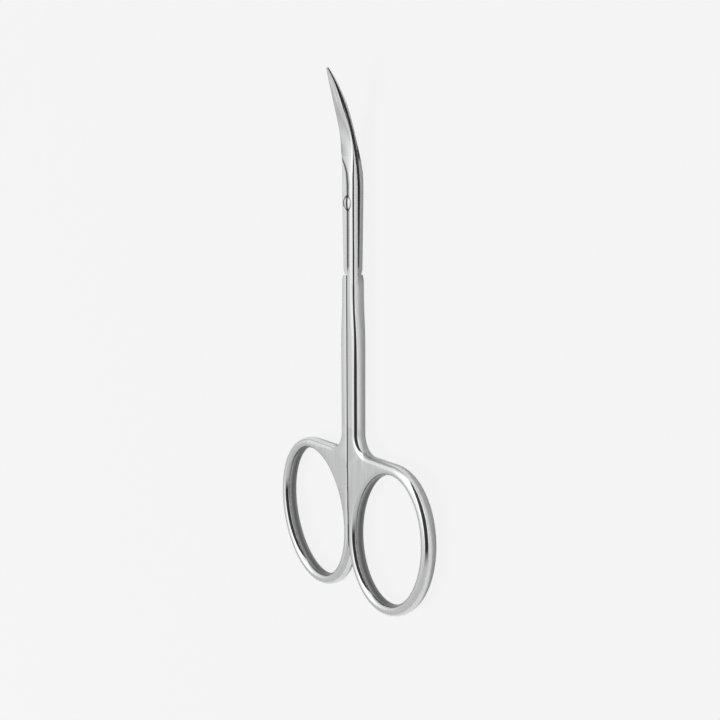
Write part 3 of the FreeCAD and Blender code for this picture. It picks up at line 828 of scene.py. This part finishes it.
# %% Polished steel
def steel_material(name, tone, polish, dull):
    """Mirror-polished steel: a tone shaded by lengthwise strokes, a roughness that rises on ground flats, and
    fine hairlines."""
    material = bpy.data.materials.new(name)
    material.use_nodes = True
    tree = material.node_tree
    shader = tree.nodes["Principled BSDF"]
    shader.inputs["Metallic"].default_value = 1.0
    place = add_node(tree, "TexCoord")
    lengthen = add_node(tree, "Mapping", {"Scale": STROKE_LENGTHENING})
    tree.links.new(place.outputs["Object"], lengthen.inputs["Vector"])
    strokes = add_node(tree, "TexNoise", STROKES)
    hairlines = add_node(tree, "TexNoise", HAIRLINES)
    for noise in (strokes, hairlines):
        tree.links.new(lengthen.outputs["Vector"], noise.inputs["Vector"])
    tree.links.new(stroke_colour(tree, strokes, tone), shader.inputs["Base Color"])
    tree.links.new(ground_roughness(tree, hairlines, polish, dull), shader.inputs["Roughness"])
    tree.links.new(fine_relief(tree, strokes, hairlines), shader.inputs["Normal"])
    print(name, len(tree.nodes), "nodes")
    return material


half_steel = steel_material("polished_steel_look", tone=0.80, polish=0.06, dull=0.20)
screw_steel = steel_material("screw_steel_look", tone=0.76, polish=0.10, dull=0.22)

# %% [markdown]
# ## Putting the pieces in place
# Each finished mesh stands for one CAD solid and moves with that solid's body: the screw is tapped into the
# rear half, so it stays with it. Edges that turn by more than 33 degrees stay crisp, and the rest
# is shaded smoothly with the large faces leading, so that the flats look flat.

# %% Put the pieces in place
CRISP_ANGLE = math.radians(33)
FLAT_LEAD = 100


def steel_piece(name, mesh, material, body, node):
    """Shades a finished mesh smoothly up to its sharp edges and lets it stand for its CAD node."""
    mesh.materials.clear()
    mesh.materials.append(material)
    mesh.polygons.foreach_set("use_smooth", np.ones(len(mesh.polygons), bool))
    mesh.set_sharp_from_angle(angle=CRISP_ANGLE)
    piece = bpy.data.objects.new(name, mesh)
    bpy.context.scene.collection.objects.link(piece)
    weighted = piece.modifiers.new("flat faces lead", "WEIGHTED_NORMAL")
    weighted.keep_sharp = True
    weighted.weight = FLAT_LEAD
    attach(piece, body)
    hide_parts(node)
    return piece


steel_piece("front_half_steel", front_mesh, half_steel, "front", "front_half")
steel_piece("rear_half_steel", rear_mesh, half_steel, "rear", "rear_half")
steel_piece("pivot_screw_steel", screw_mesh, screw_steel, "rear", "pivot_screw")

# %% [markdown]
# ## Floor and light
# Polished steel shows its surroundings more than itself, so the surroundings are what is designed here:
# a pale floor and a pale light tent with darker strips along the scissors' length, as a photographer hangs
# black card beside a bright tent to draw the edges of chrome. The camera itself sees a plain pale floor and
# backdrop, so the strips show only in the steel. The floor keeps a little of its own shading for the shadow.

# %% Floor
FLOOR_REACH, FLOOR_LEVEL = 3.0, -0.0001
FLOOR_PAPER, FLOOR_ROUGHNESS, FLOOR_GLOW = 0.9, 0.9, 0.913
GLOW_TO_CAMERA, GLOW_TO_STEEL = 0.95, 0.15

floor_mesh = bpy.data.meshes.new("floor")
floor_corners = [(FLOOR_REACH * x, FLOOR_REACH * y, FLOOR_LEVEL)
                 for x, y in ((-1, -1), (1, -1), (1, 1), (-1, 1))]
floor_mesh.from_pydata(floor_corners, [], [(0, 1, 2, 3)])
floor = bpy.data.objects.new("floor", floor_mesh)
bpy.context.scene.collection.objects.link(floor)
paper = bpy.data.materials.new("pale_floor")
paper.use_nodes = True
tree = paper.node_tree
shader = tree.nodes["Principled BSDF"]
shader.inputs["Base Color"].default_value = grey(FLOOR_PAPER)
shader.inputs["Roughness"].default_value = FLOOR_ROUGHNESS
glow = add_node(tree, "Emission", {"Color": grey(FLOOR_GLOW)})
ray = add_node(tree, "LightPath")
mirrored = add_node(tree, "Math", {1: GLOW_TO_STEEL}, operation="MULTIPLY")
tree.links.new(ray.outputs["Is Glossy Ray"], mirrored.inputs[0])
glow_share = add_node(tree, "Math", {1: GLOW_TO_CAMERA}, operation="MULTIPLY_ADD")
tree.links.new(ray.outputs["Is Camera Ray"], glow_share.inputs[0])
tree.links.new(mirrored.outputs["Value"], glow_share.inputs[2])
blend = add_node(tree, "MixShader")
tree.links.new(glow_share.outputs["Value"], blend.inputs["Fac"])
tree.links.new(shader.outputs["BSDF"], blend.inputs[1])
tree.links.new(glow.outputs["Emission"], blend.inputs[2])
tree.links.new(blend.outputs["Shader"], tree.nodes["Material Output"].inputs["Surface"])
floor_mesh.materials.append(paper)
print("floor", 2 * FLOOR_REACH, "m wide")

# %% [markdown]
# The tent is a world whose grey depends on the direction: on the angle round the scissors' length, with
# zero straight up, and on how far the direction leans along the length. A ramp holds each, and their
# product is the cloth. At the foot end the strips fade into one even grey.

# %% Directions in the tent
TENT = ((-90, 0.35), (-75, 0.70), (-55, 0.82), (-45, 1.0), (-36, 1.25), (-22, 1.25), (-8, 0.98), (3, 0.98),
        (10, 1.4), (20, 1.4), (30, 0.06), (78, 0.04), (86, 1.2), (90, 1.2))
LENGTHWISE = ((-1.0, 0.6), (-0.36, 0.68), (-0.2, 0.82), (0.0, 1.05), (0.25, 1.05), (0.45, 1.25), (1.0, 1.15))
END_FADE = ((-1.0, 0.0), (-0.6, 0.0), (-0.32, 1.0), (1.0, 1.0))
FOOT_END_GREY, BACKDROP_GREY = 0.6, 0.905

world = bpy.data.worlds.new("light_tent")
world.use_nodes = True
bpy.context.scene.world = world
tree = world.node_tree
direction = add_node(tree, "TexCoord")
split = add_node(tree, "SeparateXYZ")
tree.links.new(direction.outputs["Generated"], split.inputs["Vector"])
around = add_node(tree, "Math", operation="ARCTAN2")
tree.links.new(split.outputs["X"], around.inputs[0])
tree.links.new(split.outputs["Z"], around.inputs[1])
to_share = add_node(tree, "MapRange", {"From Min": -math.pi / 2, "From Max": math.pi / 2})
tree.links.new(around.outputs["Value"], to_share.inputs["Value"])
along = add_node(tree, "MapRange", {"From Min": -1.0})
tree.links.new(split.outputs["Y"], along.inputs["Value"])
print("tent drawn by", len(TENT), "stops round and", len(LENGTHWISE), "along")


# %% Light tent
def grey_ramp(stops, low, high, source):
    """A colour ramp through pairs of place and grey, whose places run from low to high, read at source."""
    node = add_node(tree, "ValToRGB")
    elements = node.color_ramp.elements
    while len(elements) < len(stops):
        elements.new(0.5)
    for element, (place, tone) in zip(elements, stops):
        element.position = (place - low) / (high - low)
        element.color = grey(tone)
    tree.links.new(source.outputs["Result"], node.inputs["Fac"])
    return node


strips = grey_ramp(TENT, -90, 90, to_share)
dimming = grey_ramp(LENGTHWISE, -1, 1, along)
fade = grey_ramp(END_FADE, -1, 1, along)
cloth = add_node(tree, "VectorMath", operation="MULTIPLY")
tree.links.new(strips.outputs["Color"], cloth.inputs[0])
tree.links.new(dimming.outputs["Color"], cloth.inputs[1])
background = tree.nodes["Background"]
tree.links.new(cloth.outputs["Vector"], background.inputs["Color"])
foot_end = add_node(tree, "Background", {"Color": grey(FOOT_END_GREY)})
tent = add_node(tree, "MixShader")
tree.links.new(fade.outputs["Color"], tent.inputs["Fac"])
tree.links.new(foot_end.outputs["Background"], tent.inputs[1])
tree.links.new(background.outputs["Background"], tent.inputs[2])
ray = add_node(tree, "LightPath")
backdrop = add_node(tree, "Background", {"Color": grey(BACKDROP_GREY)})
surroundings = add_node(tree, "MixShader")
tree.links.new(ray.outputs["Is Camera Ray"], surroundings.inputs["Fac"])
tree.links.new(tent.outputs["Shader"], surroundings.inputs[1])
tree.links.new(backdrop.outputs["Background"], surroundings.inputs[2])
tree.links.new(surroundings.outputs["Shader"], tree.nodes["World Output"].inputs["Surface"])
bpy.context.scene.view_settings.view_transform = "Standard"
print("tent", len(tree.nodes), "nodes")

# %% [markdown]
# The tent is made for the mirror of the steel, so it doesn't light the floor. Two soft lamps do that, a key
# from the left and a wide fill from above, which the steel doesn't mirror.

# %% Lamps for the floor
world.cycles_visibility.diffuse = False


def soft_lamp(name, place, size, power):
    """A square lamp at a place in metres, turned to the scissors; the steel doesn't mirror it."""
    lamp = bpy.data.objects.new(name, bpy.data.lights.new(name, "AREA"))
    bpy.context.scene.collection.objects.link(lamp)
    lamp.data.size, lamp.data.energy = size, power
    turn = Vector(place).to_track_quat("Z", "Y").to_matrix().to_4x4()
    lamp.matrix_world = Matrix.Translation(place) @ turn
    lamp.visible_glossy = False
    print(name, power, "W")


soft_lamp("key_lamp", place=(-0.96, -0.6, 0.81), size=0.6, power=18.0)
soft_lamp("fill_lamp", place=(0.0, 0.3, 1.8), size=2.1, power=14.0)
